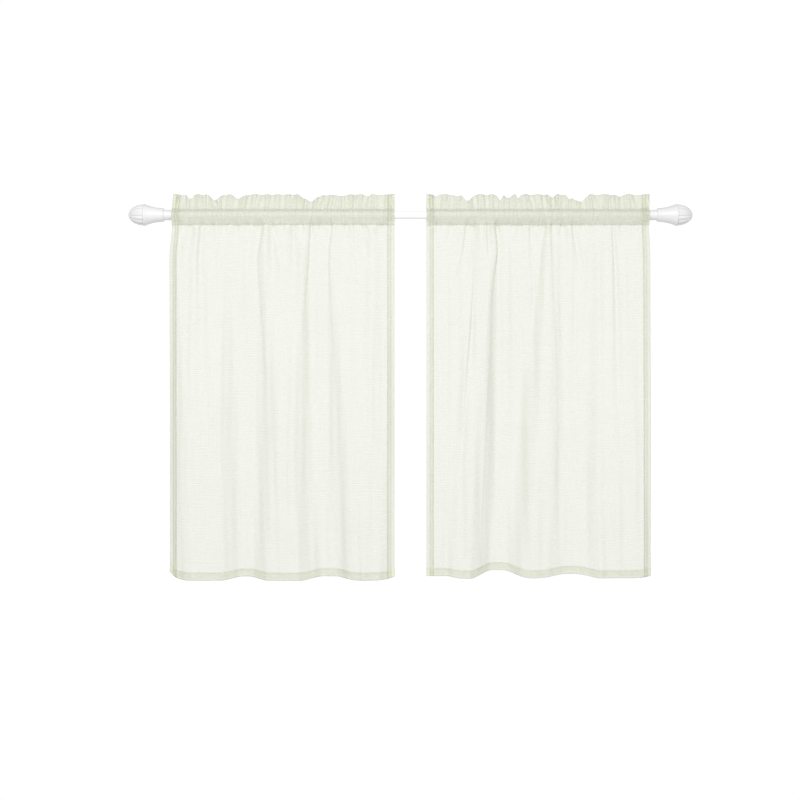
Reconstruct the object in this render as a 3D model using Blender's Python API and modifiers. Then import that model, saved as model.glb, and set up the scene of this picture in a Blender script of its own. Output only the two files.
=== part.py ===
"""A pair of sheer cafe curtains, gathered on one white rod with fluted finials.

Run with: blender --background --python part.py, or from Blender's text editor.
Metres. X runs along the rod, +Z is up, and -Y faces the room. The origin is the middle of the rod's axis.
"""

import math
from collections import namedtuple

import bmesh
import bpy
from mathutils import Matrix, Vector

# The two panels as they hang
PANEL_WIDTH = 0.530
PANEL_GAP = 0.076
PANEL_LENGTH = 0.914
HEADER_TOP = 0.049
HEM_Z = HEADER_TOP - PANEL_LENGTH
CLOTH_THICKNESS = 0.0012
HEM_THICKNESS = 0.0020
SIDE_HEM = 0.0175
BOTTOM_HEM = 0.019
HEM_EDGE = 0.001

# The rod, a round steel tube
ROD_RADIUS = 0.0095
ROD_WALL = 0.0008
ROD_SIDES = 32
FIT_GAP = 0.0003

# The sewn channel that the rod runs through. The two stitch lines close it above and below the rod.
UPPER_STITCH_Z = 0.0140
LOWER_STITCH_Z = -0.0240
CHORD_ALLOWANCE = 0.0006
CHANNEL_RADIUS = ROD_RADIUS + FIT_GAP + CLOTH_THICKNESS / 2 + CHORD_ALLOWANCE
CHANNEL_GATHER = 0.0026

# The ruffled header that stands above the upper stitch line
RUFFLE_DEPTH = 0.0046
RUFFLE_AT_STITCH = 0.45

# The skirt that hangs below the lower stitch line
PINCH_DEPTH = 0.0042
PINCH_WIDTH_TOP = 0.013
PINCH_WIDTH_END = 0.034
FLANK_WIDTH_TOP = 0.014
FLANK_WIDTH_HEM = 0.058
FULL_DEPTH_AT = 0.62
FLARE_LENGTH = 0.08
NEAREST_DEPTH = -0.016
CORNER_REACH = 0.024
LEAN_BLUR = 0.012

# Rows of cloth, as shares of the height of each zone, and columns of it
SKIRT_LENGTH = LOWER_STITCH_Z - HEM_Z
HEM_TURN = 1 - BOTTOM_HEM / SKIRT_LENGTH
HEM_TURN_EDGE = HEM_TURN - HEM_EDGE / SKIRT_LENGTH
HEADER_ROWS = (0.0, 0.5, 1.0)
SKIRT_ROWS = (0.0, 0.045, 0.11, 0.20, 0.32, 0.46, 0.62, 0.80, HEM_TURN_EDGE, HEM_TURN, 1.0)
COLUMNS_PER_GATHER = 4

# A pinch is a valley of the gathers: where it is along the panel, how far down the skirt its crease
# reaches, and how far that crease leans to the right.
Pinch = namedtuple("Pinch", "at reach lean")
# A dip is a low place in the header's uneven edge: where it is, and how deep and how wide to each side.
Dip = namedtuple("Dip", "at depth reach")
# A flank is the slope between a near and a far fold: where it is at the stitch line, half way and at
# the hem, and the step back (+) or towards the room (-) that the cloth takes there at top and hem.
Flank = namedtuple("Flank", "top middle hem step_top step_hem")
# A panel also has an inset, by which its left edge leans in from the pocket to the top of the header,
# and a hem that hangs lower by hem_drop and rises by hem_lift for each unit of depth in its far folds.
Panel = namedtuple(
    "Panel",
    "name left_edge inset flare_left flare_right far_left corner_left corner_right hem_drop hem_lift"
    " dips pinches flanks",
)

LEFT_PANEL = Panel(
    name="panel_left",
    left_edge=-PANEL_GAP / 2 - PANEL_WIDTH,
    inset=0.004,
    flare_left=0.006,
    flare_right=0.0,
    far_left=0.010,
    corner_left=0.0137,
    corner_right=0.0045,
    hem_drop=0.0034,
    hem_lift=0.22,
    dips=(
        Dip(0.0400, 0.0105, 0.012),
        Dip(0.1005, 0.0125, 0.022),
        Dip(0.1570, 0.0090, 0.022),
        Dip(0.3280, 0.0155, 0.033),
        Dip(0.3670, 0.0040, 0.010),
        Dip(0.4000, 0.0050, 0.018),
        Dip(0.4670, 0.0035, 0.010),
    ),
    pinches=(
        Pinch(0.025, 0.05, 0.000),
        Pinch(0.047, 0.09, -0.006),
        Pinch(0.071, 0.40, 0.002),
        Pinch(0.097, 0.11, -0.004),
        Pinch(0.123, 0.05, 0.002),
        Pinch(0.152, 0.07, 0.000),
        Pinch(0.180, 0.12, 0.000),
        Pinch(0.213, 0.05, 0.000),
        Pinch(0.237, 0.20, 0.021),
        Pinch(0.263, 0.05, 0.003),
        Pinch(0.287, 0.12, 0.000),
        Pinch(0.309, 0.07, 0.006),
        Pinch(0.330, 0.05, 0.000),
        Pinch(0.354, 0.05, 0.002),
        Pinch(0.380, 0.05, 0.000),
        Pinch(0.416, 0.07, -0.004),
        Pinch(0.435, 0.38, 0.003),
        Pinch(0.461, 0.12, 0.012),
        Pinch(0.492, 0.05, 0.000),
    ),
    flanks=(
        Flank(0.014, 0.018, 0.022, -0.002, -0.026),
        Flank(0.133, 0.142, 0.148, 0.002, 0.030),
        Flank(0.214, 0.221, 0.211, -0.005, -0.032),
        Flank(0.328, 0.307, 0.334, 0.005, 0.033),
        Flank(0.380, 0.388, 0.414, -0.005, -0.029),
        Flank(0.506, 0.508, 0.511, 0.003, 0.014),
    ),
)

RIGHT_PANEL = Panel(
    name="panel_right",
    left_edge=PANEL_GAP / 2,
    inset=0.0,
    flare_left=0.0,
    flare_right=0.003,
    far_left=-0.004,
    corner_left=0.0,
    corner_right=0.0015,
    hem_drop=-0.0013,
    hem_lift=0.40,
    dips=(
        Dip(0.0220, 0.0035, 0.008),
        Dip(0.0740, 0.0050, 0.014),
        Dip(0.0990, 0.0145, 0.019),
        Dip(0.1755, 0.0130, 0.010),
        Dip(0.1950, 0.0070, 0.016),
        Dip(0.2185, 0.0080, 0.008),
        Dip(0.2985, 0.0060, 0.013),
        Dip(0.3390, 0.0110, 0.010),
        Dip(0.3635, 0.0170, 0.028),
        Dip(0.4580, 0.0050, 0.014),
    ),
    pinches=(
        Pinch(0.028, 0.05, 0.000),
        Pinch(0.059, 0.06, 0.000),
        Pinch(0.094, 0.14, -0.026),
        Pinch(0.114, 0.05, 0.000),
        Pinch(0.144, 0.11, 0.001),
        Pinch(0.166, 0.05, 0.000),
        Pinch(0.194, 0.05, 0.003),
        Pinch(0.223, 0.07, -0.004),
        Pinch(0.249, 0.10, 0.004),
        Pinch(0.282, 0.05, 0.000),
        Pinch(0.300, 0.05, 0.000),
        Pinch(0.323, 0.05, 0.002),
        Pinch(0.349, 0.15, 0.016),
        Pinch(0.373, 0.06, 0.000),
        Pinch(0.406, 0.05, 0.000),
        Pinch(0.442, 0.60, 0.025),
        Pinch(0.465, 0.10, 0.006),
        Pinch(0.497, 0.05, 0.000),
    ),
    flanks=(
        Flank(0.114, 0.094, 0.066, -0.005, -0.010),
        Flank(0.164, 0.147, 0.130, 0.007, 0.038),
        Flank(0.284, 0.246, 0.208, -0.008, -0.034),
        Flank(0.297, 0.309, 0.304, 0.007, 0.016),
        Flank(0.392, 0.386, 0.381, -0.003, -0.019),
        Flank(0.512, 0.516, 0.521, 0.003, 0.010),
    ),
)

# The finials, turned about the rod's axis. Distances run outwards from the end that meets the cloth.
FINIAL_INNER_X = PANEL_GAP / 2 + PANEL_WIDTH + 0.003
SOCKET_RADIUS = ROD_RADIUS + FIT_GAP
SOCKET_DEPTH = 0.025
RIM_AT = 0.063
DOME_LENGTH = 0.037
DOME_RADIUS = 0.0250
DOME_STEP = 0.0012
DOME_RINGS = 6
FLUTES = 14
FLUTE_DEPTH = 0.0015
FLUTE_FADE = 0.009
FinialRing = namedtuple("FinialRing", "out radius")
NECK_RINGS = (
    FinialRing(RIM_AT, 0.0260),
    FinialRing(0.0605, 0.0257),
    FinialRing(0.0550, 0.0234),
    FinialRing(0.0460, 0.0204),
    FinialRing(0.0340, 0.0176),
    FinialRing(0.0240, 0.0162),
    FinialRing(0.0170, 0.0160),
    FinialRing(0.0155, 0.0150),
    FinialRing(0.0152, 0.0124),
    FinialRing(0.0000, 0.0122),
)
ROD_HALF_LENGTH = FINIAL_INNER_X + SOCKET_DEPTH - FIT_GAP

MERGE_DISTANCE = 0.00001
SHARP_ANGLE = math.radians(45)
CLOTH_COLOUR = (0.79, 0.81, 0.68, 1.0)
WHITE_COLOUR = (0.86, 0.86, 0.87, 1.0)


def smooth(share):
    """An even S-curve from 0 to 1."""
    share = min(max(share, 0.0), 1.0)
    return share * share * (3 - 2 * share)


def mix(first, second, share):
    return first + (second - first) * share


def hump(distance, reach):
    """A round hump of height 1 at no distance, gone at its reach."""
    return 1 - smooth(abs(distance) / reach)


def through(first, middle, last, share):
    """The curve that passes through three values at shares 0, 1/2 and 1."""
    return (
        first * (1 - share) * (1 - 2 * share)
        + middle * 4 * share * (1 - share)
        + last * share * (2 * share - 1)
    )


def gather_stations(panel):
    """Places along a panel: its edges, each pinch, even steps between, each dip and the side hems."""
    ridges = [0.0]
    for pinch, after in zip(panel.pinches, panel.pinches[1:]):
        ridges.append((pinch.at + after.at) / 2)
    ridges.append(PANEL_WIDTH)
    stations = [0.0]
    for pinch, left, right in zip(panel.pinches, ridges, ridges[1:]):
        for near, far in ((left, pinch.at), (pinch.at, right)):
            steps = COLUMNS_PER_GATHER // 2
            stations += [mix(near, far, (k + 1) / steps) for k in range(steps)]
    for dip in panel.dips:
        nearest = min(range(len(stations)), key=lambda number: abs(stations[number] - dip.at))
        stations[nearest] = dip.at
    for turn in (SIDE_HEM, SIDE_HEM + HEM_EDGE):
        stations += [turn, PANEL_WIDTH - turn]
    return sorted(stations)


def gather(panel, at):
    """How the gathered top edge waves: 1 in each pinch, and -1 on the ridges between and at the edges."""
    ridge = 0.0
    for number, pinch in enumerate(panel.pinches):
        last = number + 1 == len(panel.pinches)
        next_ridge = PANEL_WIDTH if last else (pinch.at + panel.pinches[number + 1].at) / 2
        if at <= next_ridge:
            half = pinch.at - ridge if at < pinch.at else next_ridge - pinch.at
            return math.cos(math.pi * abs(at - pinch.at) / half)
        ridge = next_ridge
    return -1.0


def header_edge(panel, at):
    """The height of the header's uneven top edge."""
    return HEADER_TOP - sum(dip.depth * hump(at - dip.at, dip.reach) for dip in panel.dips)


def flank_centre(flank, down):
    return through(flank.top, flank.middle, flank.hem, down)


def lean(panel, at, down):
    """How far the cloth's columns lean sideways to follow the folds beside them. The side hems don't."""
    pulls = [(0.0, 0.0), (PANEL_WIDTH, 0.0)]
    pulls += [(flank.top, flank_centre(flank, down) - flank.top) for flank in panel.flanks]
    weights = [1 / ((at - place) ** 2 + LEAN_BLUR ** 2) for place, pull in pulls]
    pull = sum(weight * pull for weight, (place, pull) in zip(weights, pulls)) / sum(weights)
    return pull * smooth((min(at, PANEL_WIDTH - at) - SIDE_HEM) / SIDE_HEM)


def skirt_depth(panel, at, down):
    """The cloth's depth at a place along the panel, from down = 0 at the stitch line to 1 at the hem."""
    depth = mix(0.0, panel.far_left, smooth(down / FULL_DEPTH_AT))
    flank_width = mix(FLANK_WIDTH_TOP, FLANK_WIDTH_HEM, smooth(down))
    for flank in panel.flanks:
        step = mix(flank.step_top, flank.step_hem, smooth(down / FULL_DEPTH_AT))
        depth += step * smooth((at - flank_centre(flank, down)) / flank_width + 0.5)
    for pinch in panel.pinches:
        along = min(down * SKIRT_LENGTH / pinch.reach, 1.0)
        width = mix(PINCH_WIDTH_TOP, PINCH_WIDTH_END, along)
        depth += PINCH_DEPTH * (1 - smooth(along)) * hump(at - pinch.at - pinch.lean * along, width)
    return depth


def corner_rise(from_edge):
    """The share of a corner's rise that is left at a distance from the panel's edge."""
    return max(1 - from_edge / CORNER_REACH, 0.0) ** 2


def hem_height(panel, at):
    """The hem's height: the far folds hang a little shorter, and the corners curl up."""
    corners = panel.corner_left * corner_rise(at) + panel.corner_right * corner_rise(PANEL_WIDTH - at)
    lift = panel.hem_lift * max(skirt_depth(panel, at, 1.0) - NEAREST_DEPTH, 0.0)
    return HEM_Z - panel.hem_drop + corners + lift


def flare(panel, at, down):
    """How far the skirt's edges stand outside the header's."""
    share = smooth(down * SKIRT_LENGTH / FLARE_LENGTH)
    outward = at / PANEL_WIDTH
    return share * (panel.flare_right * outward - panel.flare_left * (1 - outward))


def channel_profile():
    """Half of the channel's section, from the upper stitch line to the lower one, as (depth, height)."""
    leaves_above = math.acos(CHANNEL_RADIUS / UPPER_STITCH_Z)
    leaves_below = math.pi - math.acos(CHANNEL_RADIUS / -LOWER_STITCH_Z)
    rows = [(0.0, UPPER_STITCH_Z)]
    for angle in (leaves_above, (leaves_above + leaves_below) / 2, leaves_below):
        rows.append((CHANNEL_RADIUS * math.sin(angle), CHANNEL_RADIUS * math.cos(angle)))
    rows.append((0.0, LOWER_STITCH_Z))
    return rows


def channel_point(panel, at, row, side):
    """A point of the channel's wall, in front of the rod (side -1) or behind it (side 1)."""
    out, height = row
    if height >= 0:
        stitch_depth = ruffle(panel, at, 0.0)
        to_stitch = smooth((height - ROD_RADIUS) / (UPPER_STITCH_Z - ROD_RADIUS))
    else:
        stitch_depth = skirt_depth(panel, at, 0.0)
        to_stitch = smooth((-height - ROD_RADIUS) / (-LOWER_STITCH_Z - ROD_RADIUS))
    loose = CHANNEL_GATHER * (1 - gather(panel, at)) / 2 * out / CHANNEL_RADIUS
    return Vector((panel.left_edge + at, side * (out + loose) + stitch_depth * to_stitch, height))


def ruffle(panel, at, up):
    """The header's depth, from up = 0 at the upper stitch line to 1 at its edge."""
    return RUFFLE_DEPTH * mix(RUFFLE_AT_STITCH, 1.0, up) * gather(panel, at)


def header_point(panel, at, up):
    height = mix(UPPER_STITCH_Z, header_edge(panel, at), up)
    inset = panel.inset * up * (1 - at / PANEL_WIDTH)
    return Vector((panel.left_edge + at + inset, ruffle(panel, at, up), height))


def skirt_point(panel, station, down):
    at = station + lean(panel, station, down)
    height = mix(LOWER_STITCH_Z, hem_height(panel, at), down)
    return Vector((panel.left_edge + at + flare(panel, at, down), skirt_depth(panel, at, down), height))


def layers(station, zone, value):
    """1 where the cloth is turned over on itself, in the header and the hems, and 0 elsewhere."""
    at_side = min(station, PANEL_WIDTH - station) <= SIDE_HEM
    at_bottom = zone == "skirt" and value >= HEM_TURN
    return 1.0 if at_side or at_bottom or zone == "header" else 0.0


def add_cloth_grid(cloth, panel, stations, rows, side):
    """Adds a grid with a column at each station and the given rows of (zone, value)."""
    across, high = len(stations) - 1, len(rows) - 1
    thick = cloth.verts.layers.deform.verify()
    made = bmesh.ops.create_grid(cloth, x_segments=across, y_segments=high, size=0.5)
    for vertex in made["verts"]:
        station = stations[round((vertex.co.x + 0.5) * across)]
        zone, value = rows[round((0.5 - vertex.co.y) * high)]
        if zone == "header":
            vertex.co = header_point(panel, station, value)
        elif zone == "channel":
            vertex.co = channel_point(panel, station, value, side)
        else:
            vertex.co = skirt_point(panel, station, value)
        vertex[thick][0] = layers(station, zone, value)


def build_panel(panel, material, collection):
    """One sheet of cloth: header and skirt in one piece, and the channel's back wall sewn to it."""
    stations = gather_stations(panel)
    channel = [("channel", row) for row in channel_profile()]
    header = [("header", share) for share in reversed(HEADER_ROWS)]
    skirt = [("skirt", share) for share in SKIRT_ROWS]
    cloth = bmesh.new()
    add_cloth_grid(cloth, panel, stations, header + channel[1:-1] + skirt, -1)
    add_cloth_grid(cloth, panel, stations, channel, 1)
    bmesh.ops.remove_doubles(cloth, verts=cloth.verts, dist=MERGE_DISTANCE)
    mesh = bpy.data.meshes.new(panel.name)
    cloth.to_mesh(mesh)
    cloth.free()
    panel_object = add_object(panel.name, mesh, material, collection)
    panel_object.vertex_groups.new(name="turned_over")
    thicken = panel_object.modifiers.new("thickness", "SOLIDIFY")
    thicken.solidify_mode = "NON_MANIFOLD"
    thicken.nonmanifold_thickness_mode = "FIXED"
    thicken.thickness = HEM_THICKNESS
    thicken.vertex_group = "turned_over"
    thicken.thickness_vertex_group = CLOTH_THICKNESS / HEM_THICKNESS
    thicken.offset = 0.0
    mesh.shade_smooth()
    return panel_object


def build_rod(material, collection):
    """A straight tube, open at both ends, which the finials cover."""
    bpy.ops.mesh.primitive_cylinder_add(
        vertices=ROD_SIDES,
        radius=ROD_RADIUS,
        depth=2 * ROD_HALF_LENGTH,
        end_fill_type="NOTHING",
    )
    tube = bpy.context.object
    mesh = tube.data
    mesh.transform(Matrix.Rotation(math.pi / 2, 4, "Y"))
    bpy.data.objects.remove(tube)
    rod = add_object("rod", mesh, material, collection)
    wall = rod.modifiers.new("wall", "SOLIDIFY")
    wall.thickness = ROD_WALL
    wall.offset = -1.0
    mesh.shade_smooth()
    mesh.set_sharp_from_angle(angle=SHARP_ANGLE)
    return rod


def finial_profile():
    """From the tip down the outer side to the socket's mouth, then up inside the socket to its floor."""
    points = []
    for ring in range(DOME_RINGS):
        angle = math.pi / 2 * (1 - ring / DOME_RINGS)
        points.append((DOME_RADIUS * math.cos(angle), RIM_AT + DOME_LENGTH * math.sin(angle)))
    points[0] = (0.0, RIM_AT + DOME_LENGTH)
    points.append((DOME_RADIUS, RIM_AT + DOME_STEP))
    points += [(ring.radius, ring.out) for ring in NECK_RINGS]
    points += [(SOCKET_RADIUS, 0.0), (SOCKET_RADIUS, SOCKET_DEPTH), (0.0, SOCKET_DEPTH)]
    return points


def flute_dome(mesh):
    """Presses the flutes into the dome: every second line of points stands out, and the others in."""
    for vertex in mesh.vertices:
        from_tip = RIM_AT + DOME_LENGTH - vertex.co.z
        radius = math.hypot(vertex.co.x, vertex.co.y)
        if from_tip > DOME_LENGTH - DOME_STEP / 2 or radius < FLUTE_DEPTH:
            continue
        angle = math.atan2(vertex.co.y, vertex.co.x)
        stretch = 1 + FLUTE_DEPTH * smooth(from_tip / FLUTE_FADE) * math.cos(FLUTES * angle) / radius
        vertex.co.x *= stretch
        vertex.co.y *= stretch


def finial_mesh():
    """The finial standing on +Z, turned with a Screw and then fluted."""
    profile = bpy.data.meshes.new("finial_profile")
    points = [(radius, 0.0, out) for radius, out in finial_profile()]
    profile.from_pydata(points, [(k, k + 1) for k in range(len(points) - 1)], [])
    turned = bpy.data.objects.new("finial_profile", profile)
    bpy.context.scene.collection.objects.link(turned)
    screw = turned.modifiers.new("turn", "SCREW")
    screw.steps = screw.render_steps = 2 * FLUTES
    screw.use_merge_vertices = True
    screw.merge_threshold = MERGE_DISTANCE
    screw.use_normal_calculate = True
    graph = bpy.context.evaluated_depsgraph_get()
    mesh = bpy.data.meshes.new_from_object(turned.evaluated_get(graph))
    bpy.data.objects.remove(turned)
    flute_dome(mesh)
    mesh.shade_smooth()
    mesh.set_sharp_from_angle(angle=SHARP_ANGLE)
    return mesh


def build_finial(side, mesh, material, collection):
    """side is -1 for the left end of the rod and 1 for the right."""
    name = "finial_left" if side < 0 else "finial_right"
    finial = add_object(name, mesh, material, collection)
    finial.rotation_euler = (0.0, side * math.pi / 2, 0.0)
    finial.location = (side * FINIAL_INNER_X, 0.0, 0.0)
    return finial


def add_object(name, mesh, material, collection):
    made = bpy.data.objects.new(name, mesh)
    mesh.name = name
    if not mesh.materials:
        mesh.materials.append(material)
    collection.objects.link(made)
    return made


def make_material(name, colour, roughness, metallic=0.0):
    material = bpy.data.materials.new(name)
    material.use_nodes = True
    shader = material.node_tree.nodes["Principled BSDF"]
    shader.inputs["Base Color"].default_value = colour
    shader.inputs["Roughness"].default_value = roughness
    shader.inputs["Metallic"].default_value = metallic
    material.diffuse_color = colour
    return material


def main():
    for leftover in list(bpy.data.objects):
        bpy.data.objects.remove(leftover)
    curtain = bpy.data.collections.new("cafe_curtain")
    bpy.context.scene.collection.children.link(curtain)
    cloth = make_material("sheer_cloth", CLOTH_COLOUR, 0.9)
    rod_paint = make_material("rod_paint", WHITE_COLOUR, 0.35)
    finial_resin = make_material("finial_resin", WHITE_COLOUR, 0.3)
    build_rod(rod_paint, curtain)
    finial = finial_mesh()
    for side in (-1, 1):
        build_finial(side, finial, finial_resin, curtain)
    for panel in (LEFT_PANEL, RIGHT_PANEL):
        build_panel(panel, cloth, curtain)


main()
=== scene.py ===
"""The looks of a pair of sheer cafe curtains on a white rod: gathered cloth, stitching, finials and light.

Metres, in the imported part's own frame: X runs along the rod, -Y faces the room and +Z is up.
"""

import math
from collections import namedtuple

import bpy
import numpy as np
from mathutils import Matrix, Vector


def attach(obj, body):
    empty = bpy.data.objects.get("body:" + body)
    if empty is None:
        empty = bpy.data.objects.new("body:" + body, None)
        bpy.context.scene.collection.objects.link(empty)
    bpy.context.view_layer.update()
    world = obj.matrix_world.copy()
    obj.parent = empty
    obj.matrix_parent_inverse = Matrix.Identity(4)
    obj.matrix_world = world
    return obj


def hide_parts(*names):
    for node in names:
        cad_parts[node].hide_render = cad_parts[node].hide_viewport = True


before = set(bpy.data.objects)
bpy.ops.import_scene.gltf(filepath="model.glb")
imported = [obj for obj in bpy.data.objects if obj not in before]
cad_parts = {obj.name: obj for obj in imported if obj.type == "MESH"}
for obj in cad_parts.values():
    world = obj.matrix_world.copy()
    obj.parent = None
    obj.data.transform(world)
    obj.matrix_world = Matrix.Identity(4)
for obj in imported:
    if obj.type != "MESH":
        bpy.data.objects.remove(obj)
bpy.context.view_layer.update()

# The panels as they hang, in the sizes of their solids
PANEL_WIDTH = 0.530
PANEL_GAP = 0.076
PANEL_LENGTH = 0.914
HEADER_TOP = 0.049
HEM_Z = HEADER_TOP - PANEL_LENGTH
UPPER_STITCH_Z = 0.0140
LOWER_STITCH_Z = -0.0240
SKIRT_LENGTH = LOWER_STITCH_Z - HEM_Z
ROD_RADIUS = 0.0095
CHANNEL_RADIUS = 0.0110

# The cut of one panel, before its hems are turned and its header gathered
SIDE_HEM = 0.0175
SIDE_TURN = 0.0090
BOTTOM_HEM = 0.0190
BOTTOM_TURN = 0.0175
TURN_UNDER = 0.008
TURN_UNDER_Z = LOWER_STITCH_Z + TURN_UNDER
LAYER_GAP = 0.00032
SEAM_IN = 0.90
STITCH_LENGTH = 0.0028
# How far each third of a stitch stands out of the cloth, as shares of THREAD_LIFT
STITCH_SHAPE = (-0.6, 1.0, 1.0)
THREAD_RADIUS = 0.00014
THREAD_LIFT = 0.00018

# The header's two layers: the gap between them, how evenly it opens, and the puff above the stitches
HEADER_GAP = 0.0016
HEADER_BELLY = 0.4
HEADER_OPEN_AT = 1 / 6
HEADER_PUFF = 0.0012
PUFF_HEIGHT = 0.10
PUFF_FADE = 0.7
PUFF_FADED_AT = 0.625

# How far a seam's groove reaches, how strong its painted shade and denser cover are at each seam, how much
# painted shade lies over the pocket, and how the groove's painted shade follows the fine pleats
GROOVE_REACH = 0.0026
GROOVE_UNDER_HEADER = 0.15
GROOVE_ABOVE_SKIRT = 0.1
GROOVE_AT_HEM = 0.5
GROOVE_AT_SIDES = 0.7
POCKET_SHADE = 0.45
PUCKER_MEAN = 0.55
PUCKER_IN_SIDE_HEMS = 0.2

# Gathers: their depth in the header and the pocket, and the small creases along the stitch lines
RUFFLE_DEPTH = 0.0046
RUFFLE_AT_STITCH = 0.40
CHANNEL_GATHER = 0.0020
PLEAT_SPACING = (0.0065, 0.0125)
PLEAT_STRENGTH = (0.25, 1.0)
PLEAT_POWER = 0.8
PLEAT_SWAY = 0.0060
SWAY_DRAW = (-2.0, 2.0)
SWAY_BLUR = (0.25, 0.5, 0.25)
SWAY_POWER = 1.5
PLEATS_FULL_AT = 0.4
PLEAT_IN_HEADER = 0.0021
PLEAT_AT_STITCH = 0.0013
PLEAT_IN_CHANNEL = 0.0009
POCKET_BULGE = 1.8
PLEAT_REACH = (0.008, 0.050)

# Folds of the skirt
PINCH_DEPTH = 0.0044
PINCH_WIDTH_TOP = 0.009
PINCH_WIDTH_END = 0.026
FLANK_WIDTH_TOP = 0.015
FLANK_WIDTH_HEM = 0.058
FLANK_WIDE_AT = 0.65
FLANK_ROLL = 0.10
FLANK_ROLL_AT = 0.75
FLANK_ROLL_REACH = 0.7
CREASE_EASE = 0.016
CREASE_RUN_OUT = 0.35
CREASE_FADE = 0.45
CREASE_FADED_AT = 0.30
LOBE_DROP = 0.0015
RIPPLES = 14
RIPPLE_DEPTH = 0.0012
RIPPLE_LENGTH = (0.016, 0.060)
RIPPLE_SLANT = 0.03
RIPPLE_BEND = 0.02
RIPPLE_MIDDLE = (0.0, 1.1)
RIPPLE_REACH = 0.55
FULL_DEPTH_AT = 0.62
FLARE_LENGTH = 0.08
NEAREST_DEPTH = -0.016
CORNER_REACH = 0.024
LEAN_BLUR = 0.012

# The cloth's columns and rows, close together at its seams, hems and turned edges
COLUMNS = 410
NEAR_EDGE = (0.0, 0.0020, 0.0045)
NEAR_FOLD = (-0.0024, -0.0012, 0.0, 0.0012, 0.0024)
NEAR_SEAM = (-0.00245, -0.00115, 0.0, 0.00115)
HEADER_CLOSE_TO = 0.12
HEADER_ROWS = (6, 10)
CHANNEL_ROWS = 9
ROWS_FROM_STITCH = (0.35, 0.7)
ROWS_TO_STITCH = (0.2, 0.4, 0.55, 0.7, 0.8, 0.9, 1.0)
SKIRT_CLOSE_TO = 0.05
SKIRT_ROWS = (16, 76)
HEM_ROWS = (1.07, 1.0, 0.93, 0.85, 0.7, 0.5, 0.25, 0.0)
SEAM_INSET = 0.001
SEAM_TOP = 0.98
SEAM_POINTS = 700
SIDE_SEAM_POINTS = (12, 300)
TOUCHING = 1e-6
LEAST_RUN = 1e-5
LEAST_AREA = 1e-12
STEEPEST_SLOPE = 2.5
STEEPEST_TILT = 3.0

# The cloth's edge that is turned under inside the pocket, as (out, height)
TUCKED_EDGE = ((0.0025, -0.0165), (0.0020, -0.0190), (0.0012, -0.0215))

PLEAT_SEED = 7
RIPPLE_SEED = 19

# A pinch is a valley of the gathers: where it is along the panel, how far down the skirt its crease
# reaches, and how far that crease leans to the right.
Pinch = namedtuple("Pinch", "at reach lean")
# A dip is a low place in the header's uneven edge: where it is, and how deep and how wide to each side.
Dip = namedtuple("Dip", "at depth reach")
# A flank is the slope between a near and a far fold: where it is at the stitch line, half way and at
# the hem, and the step back (+) or towards the room (-) that the cloth takes there at top and hem.
Flank = namedtuple("Flank", "top middle hem step_top step_hem")
# A panel: where its left edge stands, how far its header is drawn in there, how far its skirt flares out
# at each side and hangs back at the left, how high its hem's corners curl, how far its hem hangs down
# and how much it is lifted where the folds go back, and its dips, pinches and flanks.
Panel = namedtuple(
    "Panel",
    "name left_edge inset flare_left flare_right far_left corner_left corner_right hem_drop hem_lift"
    " dips pinches flanks",
)

# A crease is a sharp line where the cloth folds back: its path as (down, at) points, the step from its
# left side to its right (+ away from the room), and its width where it starts and where it runs out.
Crease = namedtuple("Crease", "path step width_start width_end")
# A row of the cut cloth: its points, how many cloths lie in front of it, how many lie together there,
# whether its wrong side faces the window (1) or the room (-1), and how much painted groove shade and
# denser cover it gets.
Row = namedtuple("Row", "points layer cloths facing groove")

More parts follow.
